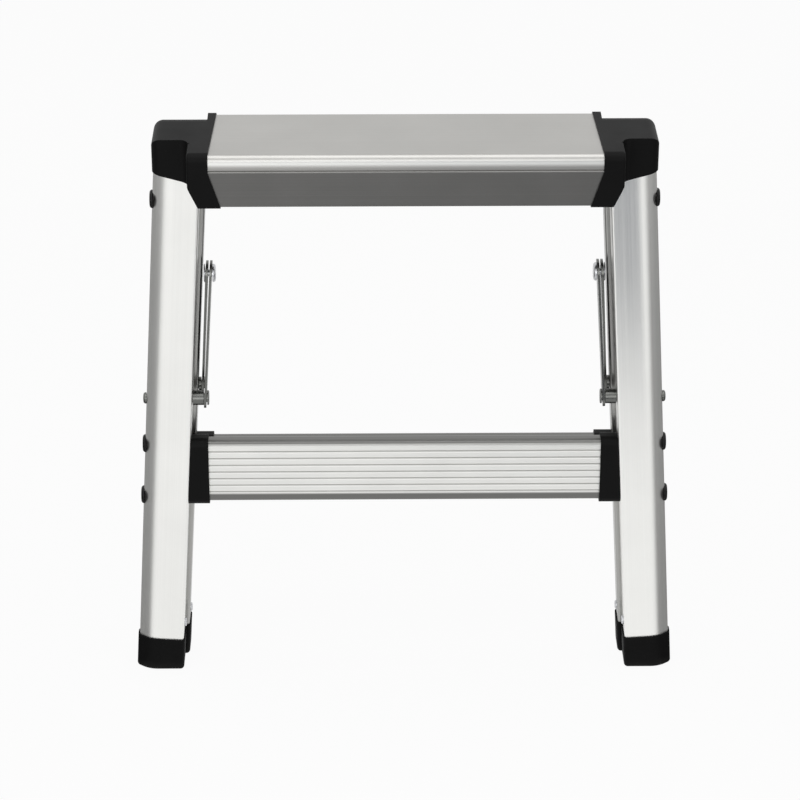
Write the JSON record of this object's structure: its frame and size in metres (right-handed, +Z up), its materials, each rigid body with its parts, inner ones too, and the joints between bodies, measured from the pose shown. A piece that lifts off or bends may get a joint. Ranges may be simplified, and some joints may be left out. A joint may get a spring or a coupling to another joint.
{
  "type": "folding step ladder",
  "caption": "Folding aluminium step ladder: a channel platform on moulded end brackets, splayed hinged leg frames with ribbed rungs, folding side stays and rubber feet.",
  "frame": {"origin": "on the floor, below the middle of the folded ladder", "axes": "+X across the ladder to the climber's right, -Y towards the climber, +Z up"},
  "size_m": [0.4864, 0.1034, 0.5216],
  "materials": {
    "platform_aluminium": "satin anodised",
    "leg_aluminium": "satin anodised",
    "rung_aluminium": "satin anodised, ribbed",
    "bracket_plastic": "fine moulded grain",
    "collar_plastic": "fine moulded grain",
    "foot_rubber": "matt",
    "black_rivet": "black semi-gloss",
    "bright_rivet": "bright zinc",
    "stay_steel": "zinc plated",
    "spacer_steel": "bright zinc",
    "bush_plastic": "natural"
  },
  "bodies": {
    "platform": {"platform_plate": "platform_aluminium", "bracket_left": "bracket_plastic", "bracket_right": "bracket_plastic", "front_hinge_rivets": "black_rivet", "rear_hinge_rivets": "black_rivet"},
    "front_frame": {"front_leg_left": "leg_aluminium", "front_leg_right": "leg_aluminium", "front_foot_left": "foot_rubber", "front_foot_right": "foot_rubber", "front_rung_collar_left": "collar_plastic", "front_rung_collar_right": "collar_plastic", "front_rung": "rung_aluminium", "front_hinge_bushes": "bush_plastic", "front_rung_rivets": "black_rivet", "front_foot_rivets": "bright_rivet", "front_stay_rivets": "bright_rivet", "front_stay_spacers": "spacer_steel"},
    "rear_frame": {"rear_leg_left": "leg_aluminium", "rear_leg_right": "leg_aluminium", "rear_foot_left": "foot_rubber", "rear_foot_right": "foot_rubber", "rear_rung_collar_left": "collar_plastic", "rear_rung_collar_right": "collar_plastic", "rear_rung": "rung_aluminium", "rear_hinge_bushes": "bush_plastic", "rear_rung_rivets": "black_rivet", "rear_foot_rivets": "bright_rivet", "rear_stay_rivets": "bright_rivet", "rear_stay_spacers": "spacer_steel"},
    "front_stay_left": {"front_stay_link_left": "stay_steel", "stay_elbow_pin_left": "bright_rivet"},
    "rear_stay_left": {"rear_stay_link_left": "stay_steel"},
    "front_stay_right": {"front_stay_link_right": "stay_steel", "stay_elbow_pin_right": "bright_rivet"},
    "rear_stay_right": {"rear_stay_link_right": "stay_steel"}
  },
  "joints": [
    {"name": "front_hinge", "type": "hinge", "parent": "platform", "child": "front_frame", "pos_m": [0, 0.0099, 0.458], "axis": [-1, 0, 0], "range_deg": [0, 20]},
    {"name": "rear_hinge", "type": "hinge", "parent": "platform", "child": "rear_frame", "pos_m": [0, 0.0373, 0.458], "axis": [1, 0, 0], "range_deg": [0, 20]},
    {"name": "front_stay_left_pivot", "type": "hinge", "parent": "front_frame", "child": "front_stay_left", "pos_m": [-0.17406, 0.0099, 0.27], "axis": [-1, 0, 0], "range_deg": [0, 15.4]},
    {"name": "rear_stay_left_pivot", "type": "hinge", "parent": "rear_frame", "child": "rear_stay_left", "pos_m": [-0.17746, 0.0373, 0.27], "axis": [1, 0, 0], "range_deg": [0, 15.4]},
    {"name": "front_stay_right_pivot", "type": "hinge", "parent": "front_frame", "child": "front_stay_right", "pos_m": [0.17406, 0.0099, 0.27], "axis": [-1, 0, 0], "range_deg": [0, 15.4]},
    {"name": "rear_stay_right_pivot", "type": "hinge", "parent": "rear_frame", "child": "rear_stay_right", "pos_m": [0.17746, 0.0373, 0.27], "axis": [1, 0, 0], "range_deg": [0, 15.4]}
  ],
  "couplings": [
    {"joint": "rear_hinge", "follows": "front_hinge", "ratio": 1},
    {"joint": "front_stay_left_pivot", "follows": "front_hinge", "ratio": 0.77},
    {"joint": "rear_stay_left_pivot", "follows": "front_hinge", "ratio": 0.77},
    {"joint": "front_stay_right_pivot", "follows": "front_hinge", "ratio": 0.77},
    {"joint": "rear_stay_right_pivot", "follows": "front_hinge", "ratio": 0.77}
  ]
}
